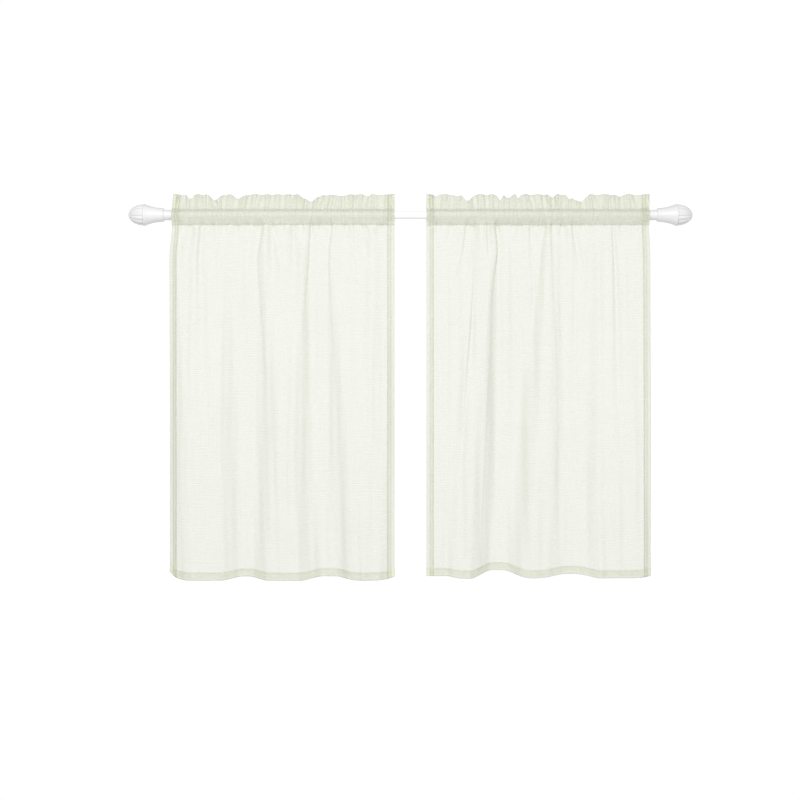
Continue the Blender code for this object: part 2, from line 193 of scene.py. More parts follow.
CREASES = {
    "panel_left": (
        Crease(((0.00, 0.0660), (0.20, 0.0670), (0.46, 0.0665), (0.84, 0.0590)), 0.0022, 0.004, 0.012),
        Crease(((0.00, 0.1150), (0.12, 0.1135), (0.30, 0.1150)), -0.0018, 0.004, 0.010),
        Crease(((0.00, 0.1660), (0.10, 0.1690), (0.22, 0.1700)), 0.0016, 0.004, 0.010),
        Crease(((0.00, 0.2194), (0.079, 0.2099), (0.192, 0.2123), (0.314, 0.2218), (0.461, 0.2278),
                (0.744, 0.2278), (0.900, 0.2218)), -0.0038, 0.0035, 0.014),
        Crease(((0.00, 0.2380), (0.09, 0.2599), (0.24, 0.2575)), 0.0024, 0.004, 0.012),
        Crease(((0.00, 0.2873), (0.06, 0.2873), (0.13, 0.2860)), 0.0026, 0.004, 0.008),
        Crease(((0.00, 0.3290), (0.113, 0.3263), (0.212, 0.3194), (0.311, 0.3142), (0.450, 0.3130),
                (0.600, 0.3160), (0.920, 0.3175)), 0.0038, 0.0035, 0.016),
        Crease(((0.00, 0.3813), (0.079, 0.3766), (0.212, 0.3790), (0.425, 0.3909), (0.600, 0.3944)),
               -0.0036, 0.0035, 0.014),
        Crease(((0.00, 0.4337), (0.079, 0.4385), (0.235, 0.4385), (0.520, 0.4390)), 0.0030, 0.004, 0.014),
        Crease(((0.00, 0.4530), (0.04, 0.4600), (0.09, 0.4760)), -0.0030, 0.004, 0.007),
        Crease(((0.30, 0.3600), (0.55, 0.3560), (0.90, 0.3540)), 0.0016, 0.010, 0.016),
        Crease(((0.45, 0.1180), (0.70, 0.1150), (0.98, 0.1120)), -0.0020, 0.010, 0.016),
    ),
    "panel_right": (
        Crease(((0.00, 0.0940), (0.093, 0.0821), (0.170, 0.0660)), 0.0060, 0.004, 0.008),
        Crease(((0.00, 0.1131), (0.100, 0.1110), (0.178, 0.1095), (0.260, 0.1060)), 0.0052, 0.0035, 0.006),
        Crease(((0.08, 0.1115), (0.178, 0.1095), (0.291, 0.1035), (0.433, 0.0940), (0.574, 0.0857),
                (0.750, 0.0800)), 0.0170, 0.006, 0.010),
        Crease(((0.00, 0.1440), (0.05, 0.1440), (0.11, 0.1450)), 0.0055, 0.004, 0.008),
        Crease(((0.00, 0.1630), (0.065, 0.1678), (0.178, 0.1571), (0.260, 0.1550)), 0.0068, 0.0035, 0.007),
        Crease(((0.12, 0.1610), (0.178, 0.1571), (0.390, 0.1511), (0.532, 0.1440), (0.707, 0.1369),
                (0.800, 0.1335), (1.05, 0.1260)), 0.0055, 0.005, 0.007),
        Crease(((0.00, 0.1960), (0.06, 0.2010), (0.13, 0.2030)), -0.0020, 0.004, 0.008),
        Crease(((0.00, 0.2460), (0.07, 0.2440), (0.16, 0.2450)), 0.0020, 0.004, 0.008),
        Crease(((0.00, 0.2844), (0.065, 0.2761), (0.192, 0.2642), (0.334, 0.2523), (0.450, 0.2400)),
               -0.0018, 0.0035, 0.014),
        Crease(((0.00, 0.2939), (0.060, 0.2950), (0.120, 0.2970)), 0.0016, 0.004, 0.006),
        Crease(((0.06, 0.2950), (0.107, 0.2963), (0.249, 0.3035), (0.390, 0.3082), (0.900, 0.3082)),
               0.0045, 0.006, 0.010),
        Crease(((0.00, 0.3455), (0.08, 0.3540), (0.19, 0.3650)), 0.0030, 0.004, 0.009),
        Crease(((0.00, 0.4427), (0.14, 0.4427), (0.235, 0.4440), (0.340, 0.4520)), 0.0032, 0.004, 0.012),
        Crease(((0.26, 0.4590), (0.565, 0.4653), (0.850, 0.4677)), -0.0026, 0.008, 0.014),
        Crease(((0.00, 0.4900), (0.10, 0.4880), (0.24, 0.4900)), -0.0018, 0.004, 0.009),
    ),
}

LEFT_PANEL = Panel(
    name="panel_left",
    left_edge=-PANEL_GAP / 2 - PANEL_WIDTH,
    inset=0.004,
    flare_left=0.006,
    flare_right=0.0,
    far_left=0.010,
    corner_left=0.0137,
    corner_right=0.0045,
    hem_drop=0.0034,
    hem_lift=0.22,
    dips=(
        Dip(0.0400, 0.0105, 0.012),
        Dip(0.1005, 0.0125, 0.022),
        Dip(0.1570, 0.0090, 0.022),
        Dip(0.3280, 0.0155, 0.033),
        Dip(0.3670, 0.0040, 0.010),
        Dip(0.4000, 0.0050, 0.018),
        Dip(0.4670, 0.0035, 0.010),
    ),
    pinches=(
        Pinch(0.025, 0.05, 0.000),
        Pinch(0.047, 0.09, -0.006),
        Pinch(0.071, 0.40, 0.002),
        Pinch(0.097, 0.11, -0.004),
        Pinch(0.123, 0.05, 0.002),
        Pinch(0.152, 0.07, 0.000),
        Pinch(0.180, 0.12, 0.000),
        Pinch(0.213, 0.05, 0.000),
        Pinch(0.237, 0.20, 0.021),
        Pinch(0.263, 0.05, 0.003),
        Pinch(0.287, 0.12, 0.000),
        Pinch(0.309, 0.07, 0.006),
        Pinch(0.330, 0.05, 0.000),
        Pinch(0.354, 0.05, 0.002),
        Pinch(0.380, 0.05, 0.000),
        Pinch(0.416, 0.07, -0.004),
        Pinch(0.435, 0.38, 0.003),
        Pinch(0.461, 0.12, 0.012),
        Pinch(0.492, 0.05, 0.000),
    ),
    flanks=(
        Flank(0.014, 0.018, 0.022, -0.002, -0.026),
        Flank(0.133, 0.142, 0.148, 0.002, 0.030),
        Flank(0.214, 0.227, 0.211, -0.005, -0.032),
        Flank(0.328, 0.314, 0.334, 0.005, 0.033),
        Flank(0.380, 0.388, 0.414, -0.005, -0.029),
        Flank(0.506, 0.508, 0.511, 0.003, 0.014),
    ),
)

RIGHT_PANEL = Panel(
    name="panel_right",
    left_edge=PANEL_GAP / 2,
    inset=0.0,
    flare_left=0.0,
    flare_right=0.003,
    far_left=-0.004,
    corner_left=0.0,
    corner_right=0.0015,
    hem_drop=-0.0013,
    hem_lift=0.40,
    dips=(
        Dip(0.0220, 0.0035, 0.008),
        Dip(0.0740, 0.0050, 0.014),
        Dip(0.0990, 0.0145, 0.019),
        Dip(0.1755, 0.0130, 0.010),
        Dip(0.1950, 0.0070, 0.016),
        Dip(0.2185, 0.0080, 0.008),
        Dip(0.2985, 0.0060, 0.013),
        Dip(0.3390, 0.0110, 0.010),
        Dip(0.3635, 0.0170, 0.028),
        Dip(0.4580, 0.0050, 0.014),
    ),
    pinches=(
        Pinch(0.028, 0.05, 0.000),
        Pinch(0.059, 0.06, 0.000),
        Pinch(0.094, 0.14, -0.026),
        Pinch(0.114, 0.05, 0.000),
        Pinch(0.144, 0.11, 0.001),
        Pinch(0.166, 0.05, 0.000),
        Pinch(0.194, 0.05, 0.003),
        Pinch(0.223, 0.07, -0.004),
        Pinch(0.249, 0.10, 0.004),
        Pinch(0.282, 0.05, 0.000),
        Pinch(0.300, 0.05, 0.000),
        Pinch(0.323, 0.05, 0.002),
        Pinch(0.349, 0.15, 0.016),
        Pinch(0.373, 0.06, 0.000),
        Pinch(0.406, 0.05, 0.000),
        Pinch(0.442, 0.60, 0.025),
        Pinch(0.465, 0.10, 0.006),
        Pinch(0.497, 0.05, 0.000),
    ),
    flanks=(
        Flank(0.114, 0.094, 0.066, -0.005, -0.010),
        Flank(0.164, 0.147, 0.130, 0.007, 0.038),
        Flank(0.284, 0.246, 0.208, -0.008, -0.034),
        Flank(0.297, 0.309, 0.304, 0.007, 0.016),
        Flank(0.392, 0.386, 0.381, -0.003, -0.019),
        Flank(0.512, 0.516, 0.521, 0.003, 0.010),
    ),
)

# Camera and stage
PHOTO_WIDTH = 800
METRES_PER_PIXEL = 0.00238
ROD_PIXEL = (410.5, 215.0)
CAMERA_DISTANCE = 3.6
FLOOR_Z = -1.60
FLOOR_RINGS = (0.0, 1.5, 3.0, 4.6)
SWEEP_RADIUS = 1.2
SWEEP_STEPS = 12
WALL_TOP = 2.6
STAGE_SIDES = 96

# The stage glows more towards the window's side: from and to these Y, with these strengths
GLOW_Y = (-0.2, 0.85)
GLOW = (0.32, 0.80)
WORLD_STRENGTH = 0.43
LIGHTS_AIM = (0.0, 0.0, -0.4)
Light = namedtuple("Light", "name size power place")
LIGHTS = (
    Light("key", (1.8, 1.0), 74.0, (-0.4, -3.0, 1.0)),
    Light("fill", (2.4, 1.6), 13.0, (1.8, -3.0, 0.0)),
)

# Finials: where their inner face is, then the rim and the dome's length out from it, and their details
FINIAL_INNER_X = 0.571
RIM_AT = 0.063
DOME_LENGTH = 0.037
DOME_RADIUS = 0.0252
DOME_RINGS = 30
DOME_TIP_ANGLE = 0.02
FLUTES = 14
FLUTE_DEPTH = 0.0017
FLUTE_FADE = 0.010
FLUTE_START = 0.25
FLUTE_POWER = 0.8
SOCKET_DEPTH = 0.025
SOCKET_RADIUS = 0.0098
SOCKET_CHAMFER = (0.0005, 0.0006)
SOCKET_CENTRE = 0.0005
FINIAL_SIDES = 168

# The neck's outline as (out, radius), from under the rim to the inner face
NECK_RINGS = (
    (0.0632, 0.0248),
    (0.0630, 0.0258),
    (0.0618, 0.0261),
    (0.0606, 0.0258),
    (0.0590, 0.0250),
    (0.0550, 0.0234),
    (0.0500, 0.0217),
    (0.0440, 0.0199),
    (0.0380, 0.0185),
    (0.0310, 0.0173),
    (0.0250, 0.0165),
    (0.0200, 0.0163),
    (0.0172, 0.0163),
    (0.0163, 0.0160),
    (0.0158, 0.0152),
    (0.0156, 0.0136),
    (0.0153, 0.0127),
    (0.0146, 0.0124),
    (0.0080, 0.0123),
    (0.0012, 0.0123),
    (0.0003, 0.0121),
    (0.0000, 0.0116),
)


def smooth(share):
    """An even S-curve from 0 to 1."""
    share = np.clip(share, 0.0, 1.0)
    return share * share * (3 - 2 * share)


def mix(first, second, share):
    return first + (second - first) * share


def hump(distance, reach):
    """A round hump of height 1 at no distance, gone at its reach."""
    return 1 - smooth(np.abs(distance) / reach)


def through(first, middle, last, share):
    """The curve that passes through three values at shares 0, 1/2 and 1."""
    return (
        first * (1 - share) * (1 - 2 * share)
        + middle * 4 * share * (1 - share)
        + last * share * (2 * share - 1)
    )


def gather(panel, at):
    """How the gathered top edge waves: 1 in each pinch, and -1 on the ridges between and at the edges."""
    places = [0.0]
    phases = [0.0]
    for number, pinch in enumerate(panel.pinches):
        if number:
            places.append((panel.pinches[number - 1].at + pinch.at) / 2)
            phases.append(2 * number)
        places.append(pinch.at)
        phases.append(2 * number + 1)
    places.append(PANEL_WIDTH)
    phases.append(2 * len(panel.pinches))
    return -np.cos(math.pi * np.interp(at, places, phases))


def pleats(panel):
    """The fine pleats along the stitch lines: (place, strength, sway, reach down the skirt) of each."""
    draw = np.random.default_rng(PLEAT_SEED + len(panel.pinches))
    count = int(PANEL_WIDTH / PLEAT_SPACING[0]) + 2
    places = np.cumsum(draw.uniform(*PLEAT_SPACING, count)) - PLEAT_SPACING[1]
    strengths = draw.uniform(*PLEAT_STRENGTH, count)
    sways = np.convolve(draw.uniform(*SWAY_DRAW, count + 2), SWAY_BLUR, "valid") * PLEAT_SWAY
    reaches = mix(PLEAT_REACH[0], PLEAT_REACH[1], draw.uniform(0.0, 1.0, count) ** 2)
    return places, strengths, sways, reaches


def pleat_wave(panel, at, up):
    """The fine pleats' wave: sharp valleys (+1) and round ridges (-1), swaying sideways as they rise."""
    places, strengths, sways, _ = pleats(panel)
    at = at + np.interp(at, places, sways) * up**SWAY_POWER
    number = np.interp(at, places, np.arange(len(places), dtype=float))
    wave = 1 - 2 * np.abs(np.sin(math.pi * number)) ** PLEAT_POWER
    return wave * np.interp(at, places, strengths)


def pleats_below(panel, at, below):
    """The fine pleats' depth at a distance below the lower stitch line."""
    places, _, _, reaches = pleats(panel)
    reach = np.interp(at, places, reaches)
    return PLEAT_AT_STITCH * pleat_wave(panel, at, 0.0) * (1 - smooth(below / reach)) ** 1.5


def ripples(panel, at, down):
    """Faint long waves all over the skirt."""
    draw = np.random.default_rng(RIPPLE_SEED + len(panel.pinches))
    depth = 0 * at
    for _ in range(RIPPLES):
        length = draw.uniform(*RIPPLE_LENGTH)
        slant = draw.uniform(-RIPPLE_SLANT, RIPPLE_SLANT)
        bend = draw.uniform(-RIPPLE_BEND, RIPPLE_BEND)
        phase = draw.uniform(0.0, 2 * math.pi)
        middle = draw.uniform(*RIPPLE_MIDDLE)
        share = hump(down - middle, RIPPLE_REACH)
        place = at + slant * down + bend * down**2
        depth = depth + share * length * np.sin(2 * math.pi * place / length + phase)
    return RIPPLE_DEPTH * depth / RIPPLE_LENGTH[1]


def header_edge(panel, at):
    """The height of the header's uneven top edge: its dips, and low lobes between the pinches."""
    dips = sum(dip.depth * hump(at - dip.at, dip.reach) for dip in panel.dips)
    return HEADER_TOP - dips - LOBE_DROP * (1 + gather(panel, at)) / 2


def curve(path, share):
    """A smooth curve through the (share, value) points of a path, and level beyond its ends."""
    shares, values = (np.array(column) for column in zip(*path))
    slopes = np.gradient(values, shares)
    share = min(max(share, shares[0]), shares[-1])
    first = min(max(int(np.searchsorted(shares, share)) - 1, 0), len(shares) - 2)
    span = shares[first + 1] - shares[first]
    t = (share - shares[first]) / span
    return (
        values[first] * (2 * t**3 - 3 * t**2 + 1)
        + slopes[first] * span * (t**3 - 2 * t**2 + t)
        + values[first + 1] * (3 * t**2 - 2 * t**3)
        + slopes[first + 1] * span * (t**3 - t**2)
    )


def crease_depth(panel, at, down):
    """The sharp steps that the creases add to the skirt's folds."""
    depth = 0 * at
    for crease in CREASES[panel.name]:
        start, end = crease.path[0][0], crease.path[-1][0]
        along = (down - start) / (end - start)
        faded = mix(1.0, CREASE_FADE, smooth(down / CREASE_FADED_AT))
        share = smooth((1 - along) / CREASE_RUN_OUT) * faded
        if start > 0:
            share = share * smooth(along / CREASE_RUN_OUT)
        width = mix(crease.width_start, crease.width_end, smooth(along))
        across = at - curve(crease.path, down)
        profile = (smooth(across / width + 0.5) - 0.5) * hump(across, CREASE_EASE + width)
        depth = depth + crease.step * share * profile
    return depth


def flank_centre(flank, down):
    return through(flank.top, flank.middle, flank.hem, down)


def lean(panel, at, down):
    """How far the cloth's columns lean sideways, so that they follow the folds beside them."""
    total = 0.0
    weights = 0.0
    anchors = [(0.0, 0.0), (PANEL_WIDTH, 0.0)]
    anchors += [(flank.top, flank_centre(flank, down) - flank.top) for flank in panel.flanks]
    for place, pull in anchors:
        weight = 1 / ((at - place) ** 2 + LEAN_BLUR**2)
        total = total + weight * pull
        weights = weights + weight
    edge = np.minimum(at, PANEL_WIDTH - at)
    return total / weights * smooth((edge - SIDE_HEM) / SIDE_HEM)


def skirt_depth(panel, at, down):
    """The cloth's depth at a place along the panel, from down = 0 at the stitch line to 1 at the hem."""
    grown = smooth(down / FULL_DEPTH_AT)
    depth = panel.far_left * grown + 0 * at
    flank_width = mix(FLANK_WIDTH_TOP, FLANK_WIDTH_HEM, smooth(down / FLANK_WIDE_AT))
    for flank in panel.flanks:
        step = mix(flank.step_top, flank.step_hem, grown)
        across = (at - flank_centre(flank, down)) / flank_width
        depth = depth + step * smooth(across + 0.5)
        near_side = np.sign(step) * across
        depth = depth - FLANK_ROLL * np.abs(step) * hump(near_side + FLANK_ROLL_AT, FLANK_ROLL_REACH)
    for pinch in panel.pinches:
        along = np.minimum(down * SKIRT_LENGTH / pinch.reach, 1.0)
        width = mix(PINCH_WIDTH_TOP, PINCH_WIDTH_END, along)
        depth = depth + PINCH_DEPTH * (1 - smooth(along)) * hump(at - pinch.at - pinch.lean * along, width)
    return depth


def corner_rise(from_edge):
    """The share of a corner's rise that is left at a distance from the panel's edge."""
    return np.maximum(1 - from_edge / CORNER_REACH, 0.0) ** 2


def hem_height(panel, at):
    """The hem's height: the far folds hang a little shorter, and the corners curl up."""
    corners = panel.corner_left * corner_rise(at) + panel.corner_right * corner_rise(PANEL_WIDTH - at)
    lift = panel.hem_lift * np.maximum(skirt_depth(panel, at, 1.0) - NEAREST_DEPTH, 0.0)
    return HEM_Z - panel.hem_drop + corners + lift


def flare(panel, at, down):
    """How far the skirt's edges stand outside the header's."""
    share = smooth(down * SKIRT_LENGTH / FLARE_LENGTH)
    outward = at / PANEL_WIDTH
    return share * (panel.flare_right * outward - panel.flare_left * (1 - outward))


def ruffle(panel, at, up):
    """The header's depth, from up = 0 at the upper stitch line to 1 at its edge."""
    return RUFFLE_DEPTH * mix(RUFFLE_AT_STITCH, 1.0, up) * gather(panel, at)


def header_depth(panel, at, up):
    """The front layer's ruffle with its fine pleats, puffed out above the stitches that hold it in."""
    pleat = mix(PLEAT_AT_STITCH, PLEAT_IN_HEADER, smooth(up / PLEATS_FULL_AT)) * pleat_wave(panel, at, up)
    puff = HEADER_PUFF * smooth(up / PUFF_HEIGHT) * (1 - PUFF_FADE * smooth(up / PUFF_FADED_AT))
    return ruffle(panel, at, up) + pleat - puff


def header_row(panel, at, up, back):
    """A row of the header's front layer, or of its back one where back is 1."""
    height = mix(UPPER_STITCH_Z, header_edge(panel, at), up)
    inset = panel.inset * up * (1 - at / PANEL_WIDTH)
    belly = 4 * up * (1 - up) * HEADER_BELLY + smooth(up / HEADER_OPEN_AT) * (1 - HEADER_BELLY)
    depth = header_depth(panel, at, up) + HEADER_GAP * belly * back
    return np.stack([panel.left_edge + at + inset, depth, height + 0 * at], axis=-1)


def channel_row(panel, at, out, height, side):
    """A row of the channel round the rod, in front of it (side -1) or behind it (side 1)."""
    if height >= 0:
        stitch_depth = header_depth(panel, at, 0.0)
        to_stitch = smooth((height - ROD_RADIUS) / (UPPER_STITCH_Z - ROD_RADIUS))
    else:
        stitch_depth = skirt_depth(panel, at, 0.0) + crease_depth(panel, at, 0.0)
        stitch_depth = stitch_depth + pleats_below(panel, at, 0.0)
        to_stitch = smooth((-height - ROD_RADIUS) / (-LOWER_STITCH_Z - ROD_RADIUS))
    loose = CHANNEL_GATHER * (1 - gather(panel, at)) / 2 * out / CHANNEL_RADIUS
    fine = PLEAT_IN_CHANNEL * (1 - pleat_wave(panel, at, 0.0)) * min(out / CHANNEL_RADIUS, 1.0)
    depth = side * (out + loose + fine) + stitch_depth * to_stitch
    return np.stack([panel.left_edge + at, depth, height + 0 * at], axis=-1)


def skirt_row(panel, station, down):
    """A row of the skirt, from down = 0 at the lower stitch line to 1 at the hem."""
    at = station + lean(panel, station, down)
    below = down * SKIRT_LENGTH
    depth = skirt_depth(panel, at, down) + crease_depth(panel, at, down) + ripples(panel, at, down)
    depth = depth + pleats_below(panel, station, below)
    height = mix(LOWER_STITCH_Z, hem_height(panel, at), down)
    return np.stack([panel.left_edge + at + flare(panel, at, down), depth, height], axis=-1)


def channel_section():
    """Half of the channel's section from the upper stitch line to the lower one, as (out, height)."""
    leaves_above = math.acos(CHANNEL_RADIUS / UPPER_STITCH_Z)
    leaves_below = math.pi - math.acos(CHANNEL_RADIUS / -LOWER_STITCH_Z)
    rows = [(0.0, UPPER_STITCH_Z)]
    top = (CHANNEL_RADIUS * math.sin(leaves_above), CHANNEL_RADIUS * math.cos(leaves_above))
    rows += [(mix(0.0, top[0], t), mix(UPPER_STITCH_Z, top[1], t)) for t in ROWS_FROM_STITCH]
    for angle in np.linspace(leaves_above, leaves_below, CHANNEL_ROWS):
        rows.append((CHANNEL_RADIUS * math.sin(angle), CHANNEL_RADIUS * math.cos(angle)))
    out, height = rows[-1]
    for t in ROWS_TO_STITCH:
        rows.append((out * (1 - t**POCKET_BULGE), mix(height, LOWER_STITCH_Z, t)))
    return rows


def skirt_shares():
    """Rows of the skirt, close together below the stitch line and at the hem."""
    hem_nears = 1 - (BOTTOM_HEM + GROOVE_REACH) / SKIRT_LENGTH
    top = np.linspace(0.0, SKIRT_CLOSE_TO, SKIRT_ROWS[0])[1:]
    middle = np.linspace(SKIRT_CLOSE_TO, hem_nears, SKIRT_ROWS[1])[1:]
    bottom = 1 - BOTTOM_HEM * np.array(HEM_ROWS) / SKIRT_LENGTH
    return [float(share) for share in np.concatenate([top, middle, bottom])]


def header_shares():
    """Rows of the header, close together above the stitch line."""
    low = np.linspace(0.0, HEADER_CLOSE_TO, HEADER_ROWS[0])
    high = np.linspace(HEADER_CLOSE_TO, 1.0, HEADER_ROWS[1])[1:]
    return [float(share) for share in np.concatenate([low, high])]


def seam_shade_and_density(distance):
    """1 in the groove of a seam, where the cloth is pressed and puckered, and 0 away from it: how much
    painted shade and denser cover it gets.
    """
    return float(max(1 - abs(distance) / GROOVE_REACH, 0.0))


def pocket_shade_and_density(height):
    """How much painted shade, with denser cover, the pocket's tight gathers get: at its seams and on its
    upper half.
    """
    upper = GROOVE_UNDER_HEADER * seam_shade_and_density(UPPER_STITCH_Z - height)
    lower = GROOVE_ABOVE_SKIRT * seam_shade_and_density(height - LOWER_STITCH_Z)
    shaded = POCKET_SHADE * float(smooth((height - LOWER_STITCH_Z) / -LOWER_STITCH_Z))
    return max(upper, lower, shaded)


def side_hem_shade_and_density(at):
    """The painted shade and denser cover in the grooves of the side hems: one at the seam, and one where
    the edge is turned under.
    """
    edge = np.minimum(at, PANEL_WIDTH - at)
    lines = (SEAM_IN * SIDE_HEM, SIDE_HEM - SIDE_TURN)
    return np.max([np.maximum(1 - np.abs(edge - line) * 2 / GROOVE_REACH, 0.0) for line in lines], axis=0)


def pocket_cloths(height):
    """The cloths that each wall of the pocket counts for: three at its foot, by the edge turned under."""
    return 3 if height < TURN_UNDER_Z else 1


def cloth_rows(panel, at):
    """Every row of the cut cloth, from the edge tucked inside the pocket to the edge tucked in the hem."""
    section = channel_section()
    # Each row's last value is its painted groove shade with denser cover: at the stitch lines, over the
    # pocket and at the hem's seam.
    rows = [Row(channel_row(panel, at, out, height, 1), 0, 2, 1, 0.0) for out, height in TUCKED_EDGE]
    for out, height in reversed(section[1:]):
        row = channel_row(panel, at, out, height, 1)
        layer = 2 if out == 0.0 else 0
        rows.append(Row(row, layer, pocket_cloths(height), -1, pocket_shade_and_density(height)))
    ups = header_shares()
    seams = [GROOVE_UNDER_HEADER * seam_shade_and_density(up * (HEADER_TOP - UPPER_STITCH_Z)) for up in ups]
    rows += [Row(header_row(panel, at, up, 1), 0, 2, -1, seam) for up, seam in zip(ups, seams)]
    rows += [Row(header_row(panel, at, up, 0), 0, 2, 1, seam) for up, seam in zip(ups[::-1], seams[::-1])]
    for out, height in section[1:]:
        row = channel_row(panel, at, out, height, -1)
        rows.append(Row(row, 0, pocket_cloths(height), 1, pocket_shade_and_density(height)))
    shares = skirt_shares()
    hem_share = 1 - BOTTOM_HEM / SKIRT_LENGTH
    for down in shares:
        seam = GROOVE_AT_HEM * seam_shade_and_density((down - hem_share) * SKIRT_LENGTH)
        together = 3 if down > hem_share - TOUCHING else 1
        rows.append(Row(skirt_row(panel, at, down), 0, together, 1, seam))
    hem = [down for down in shares if down > hem_share - TOUCHING]
    rows += [Row(skirt_row(panel, at, down), 2, 3, 1, 0.0) for down in reversed(hem)]
    tucked = [down for down in hem if (down - hem_share) * SKIRT_LENGTH < BOTTOM_TURN + TOUCHING]
    rows += [Row(skirt_row(panel, at, down), 1, 3, 1, 0.0) for down in tucked]
    return rows


def across_columns():
    """Places across the cloth, each with the layers in front, from one tucked side edge to the other."""
    fold = SIDE_HEM - SIDE_TURN
    near_fold = [fold + step for step in NEAR_FOLD]
    near_seam = [SEAM_IN * SIDE_HEM + step for step in NEAR_SEAM]
    turned = np.array([*NEAR_EDGE, *near_fold, *near_seam, SIDE_HEM])
    tucked = turned[turned > fold - TOUCHING]
    left = [(float(at), 1) for at in tucked] + [(float(at), 2) for at in turned[::-1]]
    right = [(PANEL_WIDTH - at, layer) for at, layer in reversed(left)]
    inner = np.linspace(SIDE_HEM, PANEL_WIDTH - SIDE_HEM, COLUMNS + 1)[1:-1]
    main = [(float(at), 0) for at in turned]
    mirrored = [(PANEL_WIDTH - at, 0) for at, _ in reversed(main)]
    return left + main + [(float(at), 0) for at in inner] + mirrored + right


def flat_places(panel, at):
    """Distances across the flat cloth, measured along the gathered header, half way up."""
    row = header_row(panel, at, 0.5, 0)
    steps = np.linalg.norm(np.diff(row[:, :2], axis=0), axis=1)
    return np.concatenate([[0.0], np.cumsum(steps)])


def set_points(mesh, points, quads):
    mesh.from_pydata(points.reshape(-1, 3).tolist(), [], quads.tolist())


def grid_quads(rows, columns):
    index = np.arange(rows * columns).reshape(rows, columns)
    corners = (index[:-1, :-1], index[1:, :-1], index[1:, 1:], index[:-1, 1:])
    return np.stack(corners, axis=-1).reshape(-1, 4)


def ring_quads(index):
    """The faces between rings of points, each ring closed on itself."""
    after = np.roll(index, -1, axis=1)
    return np.stack([index[:-1], after[:-1], after[1:], index[1:]], axis=-1).reshape(-1, 4)


def cloth_points(panel):
    """The whole cut cloth as it hangs: points, flat places, how many cloths lie together, and the painted
    groove shade with its denser cover.
    """
    columns = across_columns()
    at = np.array([place for place, _ in columns])
    sides = np.array([layer for _, layer in columns], float)
    rows = cloth_rows(panel, at)
    points = np.stack([row.points for row in rows])
    facing = np.array([row.facing for row in rows], float)[:, None]
    layer = np.array([row.layer for row in rows], float)[:, None]
    slope = slope_across(points, at)
    length = np.sqrt(1 + slope**2)
    offset = LAYER_GAP * (sides[None, :] * facing + layer)
    points[..., 0] -= offset * slope / length
    points[..., 1] += offset / length
    in_side_hem = np.minimum(at, PANEL_WIDTH - at) <= SIDE_HEM + TOUCHING
    cloths = np.array([row.cloths for row in rows], float)[:, None] * np.where(in_side_hem, 3.0, 1.0)
    # The painted groove shade, with its denser cover, follows the fine pleats and is weak in the side
    # hems.
    pucker_shade = PUCKER_MEAN + (1 - PUCKER_MEAN) * pleat_wave(panel, at, 0.0)
    pucker_shade = pucker_shade * np.where(in_side_hem, PUCKER_IN_SIDE_HEMS, 1.0)
    groove = np.array([row.groove for row in rows])[:, None] * pucker_shade[None, :]
    groove = np.maximum(groove, GROOVE_AT_SIDES * side_hem_shade_and_density(at)[None, :])
    steps = np.linalg.norm(np.diff(points, axis=0), axis=2).mean(axis=1)
    down = np.concatenate([[0.0], np.cumsum(steps)])
    flat_u = flat_places(panel, at)
    flat = np.stack(np.broadcast_arrays(flat_u[None, :], down[:, None]), axis=-1)
    return points, flat, cloths, groove


def tilt(points):
    """How steeply the cloth is turned from the panel's plane: its area for each unit in front."""
    across = np.gradient(points, axis=1)
    down = np.gradient(points, axis=0)
    normal = np.cross(across, down)
    steepness = np.linalg.norm(normal, axis=2) / np.maximum(np.abs(normal[..., 1]), LEAST_AREA)
    return np.minimum(steepness, STEEPEST_TILT)


def slope_across(points, at):
    """How the depth changes along X, in each row, by differences between columns a little apart."""
    order = np.argsort(at, kind="stable")
    places, first = np.unique(at[order], return_index=True)
    x = points[:, order, 0][:, first]
    y = points[:, order, 1][:, first]
    slope = np.gradient(y, axis=1) / np.maximum(np.gradient(x, axis=1), LEAST_RUN)
    back = np.searchsorted(places, at)
    return np.clip(slope[:, back], -STEEPEST_SLOPE, STEEPEST_SLOPE)


def add_piece(name, mesh, material):
    piece = bpy.data.objects.new(name, mesh)
    bpy.context.scene.collection.objects.link(piece)
    mesh.materials.append(material)
    mesh.shade_smooth()
    return piece


def build_cloth(panel, material):
    points, flat, cloths, groove = cloth_points(panel)
    mesh = bpy.data.meshes.new(panel.name + "_cloth")
    set_points(mesh, points, grid_quads(*cloths.shape))
    layer = mesh.uv_layers.new(name="flat_cloth")
    corner = np.zeros(len(mesh.loops), np.int32)
    mesh.loops.foreach_get("vertex_index", corner)
    layer.data.foreach_set("uv", flat.reshape(-1, 2)[corner].astype(np.float32).ravel())
    # The groove attribute holds the painted groove shade and its denser cover.
    for name, values in (("cloths", cloths), ("groove", groove), ("tilt", tilt(points))):
        layers = mesh.attributes.new(name, "FLOAT", "POINT")
        layers.data.foreach_set("value", values.astype(np.float32).ravel())
    return add_piece(panel.name + "_cloth", mesh, material)


def seam_lines(panel):
    """The panel's seams as lines of points on its front: both stitch lines and the three hems."""
    fine = np.linspace(SEAM_INSET, PANEL_WIDTH - SEAM_INSET, SEAM_POINTS)
    lines = [header_row(panel, fine, 0.0, 0), skirt_row(panel, fine, 0.0)]
    lines.append(skirt_row(panel, fine, 1 - SEAM_IN * BOTTOM_HEM / SKIRT_LENGTH))
    for at in (SEAM_IN * SIDE_HEM, PANEL_WIDTH - SEAM_IN * SIDE_HEM):
        place = np.array([at])
        down = [header_row(panel, place, up, 0) for up in np.linspace(SEAM_TOP, 0.0, SIDE_SEAM_POINTS[0])]
        down += [channel_row(panel, place, out, height, -1) for out, height in channel_section()[1:-1]]
        down += [skirt_row(panel, place, share) for share in np.linspace(0.0, 1.0, SIDE_SEAM_POINTS[1])]
        lines.append(np.concatenate(down))
    return lines


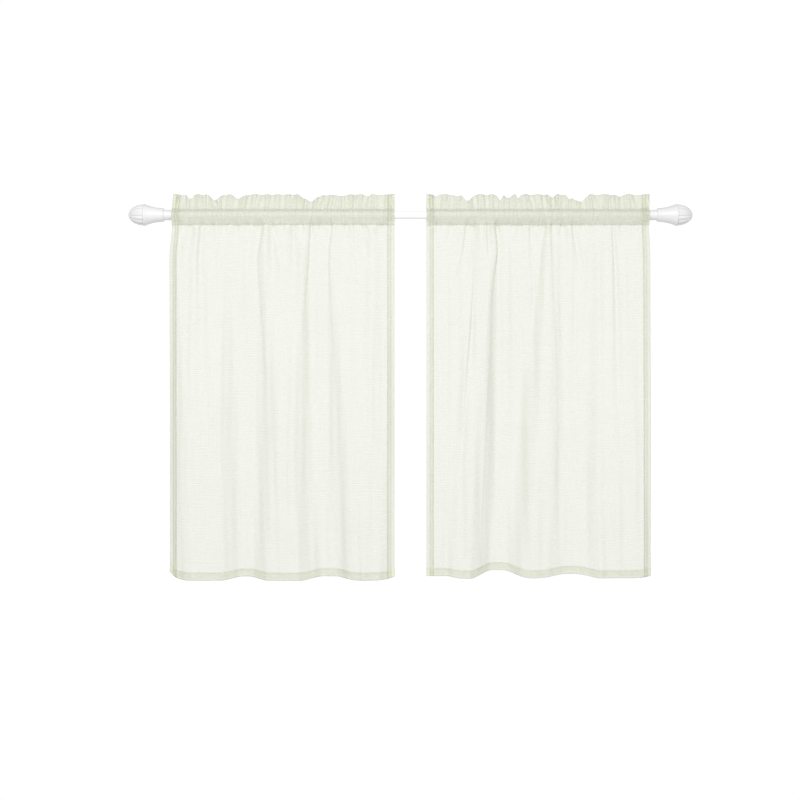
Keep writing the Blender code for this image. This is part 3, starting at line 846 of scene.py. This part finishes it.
def along_line(points, spacing):
    """Points at an even spacing along a line."""
    length = np.concatenate([[0.0], np.cumsum(np.linalg.norm(np.diff(points, axis=0), axis=1))])
    places = np.linspace(0.0, length[-1], max(int(length[-1] / spacing), 2) * len(STITCH_SHAPE) + 1)
    return np.stack([np.interp(places, length, points[:, axis]) for axis in range(3)], axis=-1)


def thread_rings(points, side):
    """Four-sided rings of the thread along a seam: it dips into the cloth between its stitches."""
    run = np.gradient(points, axis=0)
    run /= np.linalg.norm(run, axis=1)[:, None]
    out = np.array([0.0, side, 0.0]) - run * (run[:, 1] * side)[:, None]
    out /= np.linalg.norm(out, axis=1)[:, None]
    beside = np.cross(run, out)
    lift = np.array(STITCH_SHAPE)[np.arange(len(points)) % len(STITCH_SHAPE)]
    surface = 0.0 if side < 0 else 2 * LAYER_GAP
    centre = points + out * (lift * THREAD_LIFT + surface)[:, None]
    corners = ((1, 0), (0, 1), (-1, 0), (0, -1))
    return np.stack([centre + THREAD_RADIUS * (a * out + b * beside) for a, b in corners], axis=1)


def build_stitches(panel, material):
    """The threads of every seam, in front of the cloth and behind it, as one mesh."""
    points = []
    faces = []
    start = 0
    for line in seam_lines(panel):
        for side in (-1, 1):
            rings = thread_rings(along_line(line, STITCH_LENGTH), side)
            count = len(rings)
            index = start + np.arange(count * 4).reshape(count, 4)
            faces += ring_quads(index).tolist()
            faces += [index[0].tolist(), index[-1][::-1].tolist()]
            points.append(rings.reshape(-1, 3))
            start += count * 4
    mesh = bpy.data.meshes.new(panel.name + "_stitches")
    mesh.from_pydata(np.concatenate(points).tolist(), [], faces)
    return add_piece(panel.name + "_stitches", mesh, material)


class Shader:
    """A few short ways to add and link the nodes of one material."""

    def __init__(self, name):
        self.material = bpy.data.materials.new(name)
        self.material.use_nodes = True
        self.nodes = self.material.node_tree.nodes
        self.links = self.material.node_tree.links
        self.nodes.clear()
        self.out = self.nodes.new("ShaderNodeOutputMaterial")

    def add(self, kind, **settings):
        node = self.nodes.new("ShaderNode" + kind)
        for name, value in settings.items():
            setattr(node, name, value)
        return node

    def link(self, source, target):
        self.links.new(source, target)

    def value(self, operation, first, second=None, third=None):
        node = self.add("Math", operation=operation)
        for socket, given in zip(node.inputs, (first, second, third)):
            if given is None:
                continue
            if isinstance(given, (int, float)):
                socket.default_value = given
            else:
                self.link(given, socket)
        return node.outputs[0]

    def colour_mix(self, share, first, second):
        node = self.add("Mix", data_type="RGBA")
        for socket, given in zip((node.inputs[0], node.inputs[6], node.inputs[7]), (share, first, second)):
            if isinstance(given, (int, float, tuple)):
                socket.default_value = given
            else:
                self.link(given, socket)
        return node.outputs[2]

    def noise(self, vector, detail=2.0, roughness=0.5):
        node = self.add("TexNoise")
        node.inputs["Scale"].default_value = 1.0
        node.inputs["Detail"].default_value = detail
        node.inputs["Roughness"].default_value = roughness
        self.link(vector, node.inputs["Vector"])
        return node.outputs[0]

    def scaled(self, vector, x, y, z=1.0):
        node = self.add("Mapping")
        node.inputs["Scale"].default_value = (x, y, z)
        self.link(vector, node.inputs["Vector"])
        return node.outputs[0]

    def remap(self, value, low, high, to_low=0.0, to_high=1.0):
        node = self.add("MapRange")
        self.link(value, node.inputs[0])
        for socket, number in zip(node.inputs[1:5], (low, high, to_low, to_high)):
            socket.default_value = number
        return node.outputs[0]


# The cloth's colours: single; in a hem and where two hems cross, painted lighter for the light scattered
# between stacked cloths; in its slubs; and the painted shade in its seams' grooves
CLOTH_COLOUR = (0.82, 0.835, 0.735, 1.0)
TURNED_COLOUR_PAINTED_LIGHTER = (0.875, 0.89, 0.81, 1.0)
THICK_COLOUR_PAINTED_LIGHTER = (0.975, 0.985, 0.90, 1.0)
SLUB_COLOUR = (0.86, 0.875, 0.79, 1.0)
GROOVE_PAINTED_SHADE = (0.60, 0.62, 0.51, 1.0)
SLUB_TINT = 0.55
GROOVE_PAINTED_SHADE_SHARE = 0.6
# The thread's darker and lighter tone: its painted sheen along the thread.
THREAD_COLOURS_AND_SHEEN = ((0.74, 0.76, 0.65, 1.0), (0.84, 0.855, 0.76, 1.0))

# The weave's waves for each metre, across the cloth and down it
SLUB_WAVES = (22.0, 420.0)
WEFT_WAVES = (6.0, 1500.0)
WARP_WAVES = (900.0, 10.0)
PATCH_WAVES = (9.0, 14.0)
# The thread's and the paint's waves for each metre
THREAD_WAVES = (2500.0, 2500.0, 2500.0)
CLOUD_WAVES = (35.0, 35.0, 35.0)
# The parts of each noise that fade from none to all
SLUB_RANGE = (0.56, 0.70)
THREAD_RANGE = (0.35, 0.65)
PATCH_RANGE = (0.3, 0.7)

# How much of the view the cloth's threads cover, and what its weave, slubs, patches and grooves add
COVER = 0.56
COVER_WEAVE = 0.12
COVER_SLUBS = 0.17
COVER_PATCHES = 0.05
COVER_GROOVE = 0.15
LIGHT_THROUGH = 0.60
SLUB_RELIEF = 0.7

# Paint: its colour, its roughness, the waves of its fine relief, and how its duller patches differ
Paint = namedtuple("Paint", "colour roughness waves")
ROD_PAINT = Paint((0.94, 0.94, 0.95, 1.0), 0.30, 900.0)
FINIAL_RESIN = Paint((0.785, 0.785, 0.795, 1.0), 0.28, 600.0)
DULL_SHADE = 0.94
DULL_SHARE = 0.5
DULL_SPREAD = 0.1


def cloth_material():
    """Sheer slubbed voile: see-through between its threads, with short thick threads running across."""
    s = Shader("sheer_cloth")
    uv = s.add("UVMap", uv_map="flat_cloth").outputs[0]
    slubs = s.remap(s.noise(s.scaled(uv, *SLUB_WAVES)), *SLUB_RANGE)
    lines = s.remap(s.noise(s.scaled(uv, *WEFT_WAVES)), *THREAD_RANGE)
    warp = s.remap(s.noise(s.scaled(uv, *WARP_WAVES)), *THREAD_RANGE)
    patches = s.remap(s.noise(s.scaled(uv, *PATCH_WAVES), 3.0), *PATCH_RANGE)
    cloths = s.add("Attribute", attribute_name="cloths").outputs["Fac"]
    weave = s.value("MULTIPLY_ADD", lines, 0.5, s.value("MULTIPLY", warp, 0.5))
    # The hem and crossed-hem colours are painted lighter, standing in for the light scattered between
    # stacked cloths.
    colour = s.colour_mix(s.remap(cloths, 1.0, 3.0), CLOTH_COLOUR, TURNED_COLOUR_PAINTED_LIGHTER)
    colour = s.colour_mix(s.remap(cloths, 3.0, 9.0), colour, THICK_COLOUR_PAINTED_LIGHTER)
    colour = s.colour_mix(s.value("MULTIPLY", slubs, SLUB_TINT), colour, SLUB_COLOUR)
    # Painted shade: the groove attribute darkens the colour along the seams, the side hems' folds and over
    # the pocket.
    groove = s.add("Attribute", attribute_name="groove").outputs["Fac"]
    colour = s.colour_mix(s.value("MULTIPLY", groove, GROOVE_PAINTED_SHADE_SHARE), colour, GROOVE_PAINTED_SHADE)
    cover = s.value("MULTIPLY_ADD", weave, COVER_WEAVE, COVER)
    cover = s.value("MULTIPLY_ADD", slubs, COVER_SLUBS, cover)
    cover = s.value("MULTIPLY_ADD", patches, COVER_PATCHES, cover)
    cover = s.value("MULTIPLY_ADD", groove, COVER_GROOVE, cover)
    steep = s.add("Attribute", attribute_name="tilt").outputs["Fac"]
    gaps = s.value("POWER", s.value("SUBTRACT", 1.0, cover), steep)
    cover = s.value("SUBTRACT", 1.0, gaps)
    height = s.value("MULTIPLY_ADD", slubs, SLUB_RELIEF, weave)
    bump = s.add("Bump")
    bump.inputs["Strength"].default_value = 0.25
    bump.inputs["Distance"].default_value = 0.0004
    s.link(height, bump.inputs["Height"])
    thread = s.add("BsdfPrincipled")
    thread.inputs["Roughness"].default_value = 0.75
    thread.inputs["Sheen Weight"].default_value = 0.25
    thread.inputs["Sheen Roughness"].default_value = 0.5
    s.link(colour, thread.inputs["Base Color"])
    s.link(bump.outputs[0], thread.inputs["Normal"])
    glow = s.add("BsdfTranslucent")
    s.link(colour, glow.inputs["Color"])
    s.link(bump.outputs[0], glow.inputs["Normal"])
    body = s.add("MixShader")
    body.inputs[0].default_value = LIGHT_THROUGH
    s.link(thread.outputs[0], body.inputs[1])
    s.link(glow.outputs[0], body.inputs[2])
    clear = s.add("BsdfTransparent")
    sheer = s.add("MixShader")
    s.link(cover, sheer.inputs[0])
    s.link(clear.outputs[0], sheer.inputs[1])
    s.link(body.outputs[0], sheer.inputs[2])
    s.link(sheer.outputs[0], s.out.inputs["Surface"])
    return s.material


def thread_material():
    """Cream polyester thread; the faint sheen of its plies is painted in as lighter and darker tones along
    it.
    """
    s = Shader("sewing_thread")
    place = s.add("TexCoord").outputs["Object"]
    painted_sheen = s.remap(s.noise(s.scaled(place, *THREAD_WAVES), 1.0), *THREAD_RANGE)
    thread = s.add("BsdfPrincipled")
    s.link(s.colour_mix(painted_sheen, *THREAD_COLOURS_AND_SHEEN), thread.inputs["Base Color"])
    thread.inputs["Roughness"].default_value = 0.55
    s.link(thread.outputs[0], s.out.inputs["Surface"])
    return s.material


def paint_material(name, paint):
    """Satin white paint or resin, a little uneven and with faint dust in its texture."""
    s = Shader(name)
    colour, roughness = paint.colour, paint.roughness
    place = s.add("TexCoord").outputs["Object"]
    cloud = s.remap(s.noise(s.scaled(place, *CLOUD_WAVES), 4.0, 0.6), *PATCH_RANGE)
    fine = s.noise(s.scaled(place, paint.waves, paint.waves, paint.waves))
    dull = tuple(channel * DULL_SHADE for channel in colour[:3]) + (1.0,)
    shade = s.colour_mix(s.value("MULTIPLY", cloud, DULL_SHARE), colour, dull)
    bump = s.add("Bump")
    bump.inputs["Strength"].default_value = 0.12
    bump.inputs["Distance"].default_value = 0.0003
    s.link(fine, bump.inputs["Height"])
    coat = s.add("BsdfPrincipled")
    coat.inputs["Specular IOR Level"].default_value = 0.5
    s.link(shade, coat.inputs["Base Color"])
    s.link(s.remap(cloud, 0.0, 1.0, roughness, roughness + DULL_SPREAD), coat.inputs["Roughness"])
    s.link(bump.outputs[0], coat.inputs["Normal"])
    s.link(coat.outputs[0], s.out.inputs["Surface"])
    return s.material


def stage_material():
    """Seamless white that is lit brighter on the window's side than on the room's."""
    s = Shader("studio_white")
    place = s.add("TexCoord").outputs["Object"]
    split = s.add("SeparateXYZ")
    s.link(place, split.inputs[0])
    paint = s.add("BsdfPrincipled")
    paint.inputs["Base Color"].default_value = (0.30, 0.30, 0.30, 1.0)
    paint.inputs["Roughness"].default_value = 0.95
    paint.inputs["Specular IOR Level"].default_value = 0.0
    paint.inputs["Emission Color"].default_value = (1.0, 1.0, 1.0, 1.0)
    s.link(s.remap(split.outputs[1], *GLOW_Y, *GLOW), paint.inputs["Emission Strength"])
    s.link(paint.outputs[0], s.out.inputs["Surface"])
    s.material.cycles.emission_sampling = "NONE"
    return s.material


def build_stage():
    """A round pale floor that sweeps up into a low wall, far enough out to stand behind every view."""
    profile = [(radius, FLOOR_Z) for radius in FLOOR_RINGS]
    for step in range(1, SWEEP_STEPS + 1):
        angle = math.pi / 2 * step / SWEEP_STEPS
        out = FLOOR_RINGS[-1] + SWEEP_RADIUS * math.sin(angle)
        profile.append((out, FLOOR_Z + SWEEP_RADIUS - SWEEP_RADIUS * math.cos(angle)))
    profile.append((FLOOR_RINGS[-1] + SWEEP_RADIUS, WALL_TOP))
    turns = np.linspace(0.0, 2 * math.pi, STAGE_SIDES + 1)
    points = np.array([[(r * math.cos(t), r * math.sin(t), z) for t in turns] for r, z in profile])
    mesh = bpy.data.meshes.new("stage")
    set_points(mesh, points, grid_quads(len(profile), len(turns)))
    stage = add_piece("stage", mesh, stage_material())


def finial_rings():
    """The finial's outline from the tip of its dome to the bottom of its socket: (out, radius, flute)."""
    rings = []
    for angle in np.linspace(DOME_TIP_ANGLE, math.pi / 2, DOME_RINGS):
        out = RIM_AT + DOME_LENGTH * math.cos(angle)
        flute = FLUTE_DEPTH * smooth(math.sin(angle) * DOME_RADIUS / FLUTE_FADE - FLUTE_START)
        rings.append((out, DOME_RADIUS * math.sin(angle), float(flute)))
    rings += [(out, radius, 0.0) for out, radius in NECK_RINGS]
    rings.append((0.0, SOCKET_RADIUS + SOCKET_CHAMFER[1], 0.0))
    rings.append((SOCKET_CHAMFER[0], SOCKET_RADIUS, 0.0))
    rings.append((SOCKET_DEPTH, SOCKET_RADIUS, 0.0))
    rings.append((SOCKET_DEPTH, SOCKET_CENTRE, 0.0))
    return rings


def build_finial(name, side, material):
    """One turned end: a neck that widens to a rim, and a fluted dome beyond it."""
    turns = np.linspace(0.0, 2 * math.pi, FINIAL_SIDES + 1)[:-1]
    rings = finial_rings()
    points = []
    for out, radius, flute in rings:
        groove = 1 - np.abs(np.sin(FLUTES * turns / 2)) ** FLUTE_POWER
        reach = radius - flute * groove
        x = np.full(turns.shape, side * (FINIAL_INNER_X + out))
        points.append(np.stack([x, reach * np.sin(turns), reach * np.cos(turns)], axis=-1))
    index = np.arange(len(rings) * FINIAL_SIDES).reshape(len(rings), FINIAL_SIDES)
    faces = ring_quads(index)[:, ::side].tolist()
    faces += [index[0][::side].tolist(), index[-1][::-side].tolist()]
    mesh = bpy.data.meshes.new(name + "_turned")
    mesh.from_pydata(np.concatenate(points).tolist(), [], faces)
    return add_piece(name + "_turned", mesh, material)


def build_lights():
    """Two large soft lights on the room's side, and a dim even light from all round."""
    for setting in LIGHTS:
        data = bpy.data.lights.new(setting.name, "AREA")
        data.shape = "RECTANGLE"
        data.size, data.size_y = setting.size
        data.energy = setting.power
        light = bpy.data.objects.new(setting.name, data)
        light.location = setting.place
        light.rotation_mode = "QUATERNION"
        light.rotation_quaternion = (Vector(setting.place) - Vector(LIGHTS_AIM)).to_track_quat("Z", "Y")
        light.visible_camera = False
        bpy.context.scene.collection.objects.link(light)
    world = bpy.data.worlds.new("studio")
    bpy.context.scene.world = world
    world.use_nodes = True
    background = world.node_tree.nodes["Background"]
    background.inputs["Color"].default_value = (1.0, 1.0, 1.0, 1.0)
    background.inputs["Strength"].default_value = WORLD_STRENGTH
    bpy.context.scene.view_settings.view_transform = "Standard"
    bpy.context.scene.cycles.transparent_max_bounces = 24


def build_camera():
    """A level camera straight in front, which frames the rod and the panels as the photo does."""
    data = bpy.data.cameras.new("camera")
    camera = bpy.data.objects.new("camera", data)
    bpy.context.scene.collection.objects.link(camera)
    centre_x = (PHOTO_WIDTH / 2 - ROD_PIXEL[0]) * METRES_PER_PIXEL
    centre_z = (ROD_PIXEL[1] - PHOTO_WIDTH / 2) * METRES_PER_PIXEL
    camera.location = (centre_x, -CAMERA_DISTANCE, centre_z)
    camera.rotation_euler = (math.pi / 2, 0.0, 0.0)
    data.lens = data.sensor_width * CAMERA_DISTANCE / (PHOTO_WIDTH * METRES_PER_PIXEL)
    bpy.context.scene.camera = camera


def main():
    build_camera()
    build_stage()
    build_lights()
    cloth = cloth_material()
    thread = thread_material()
    for panel in (LEFT_PANEL, RIGHT_PANEL):
        piece = build_cloth(panel, cloth)
        stitches = build_stitches(panel, thread)
        for added in (piece, stitches):
            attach(added, "root")
        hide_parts(panel.name)
    rod_paint = paint_material("rod_paint", ROD_PAINT)
    resin = paint_material("finial_resin", FINIAL_RESIN)
    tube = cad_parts["rod"].data
    tube.materials.clear()
    tube.materials.append(rod_paint)
    for name, side in (("finial_left", -1), ("finial_right", 1)):
        piece = build_finial(name, side, resin)
        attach(piece, "root")
        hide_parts(name)
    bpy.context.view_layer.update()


main()
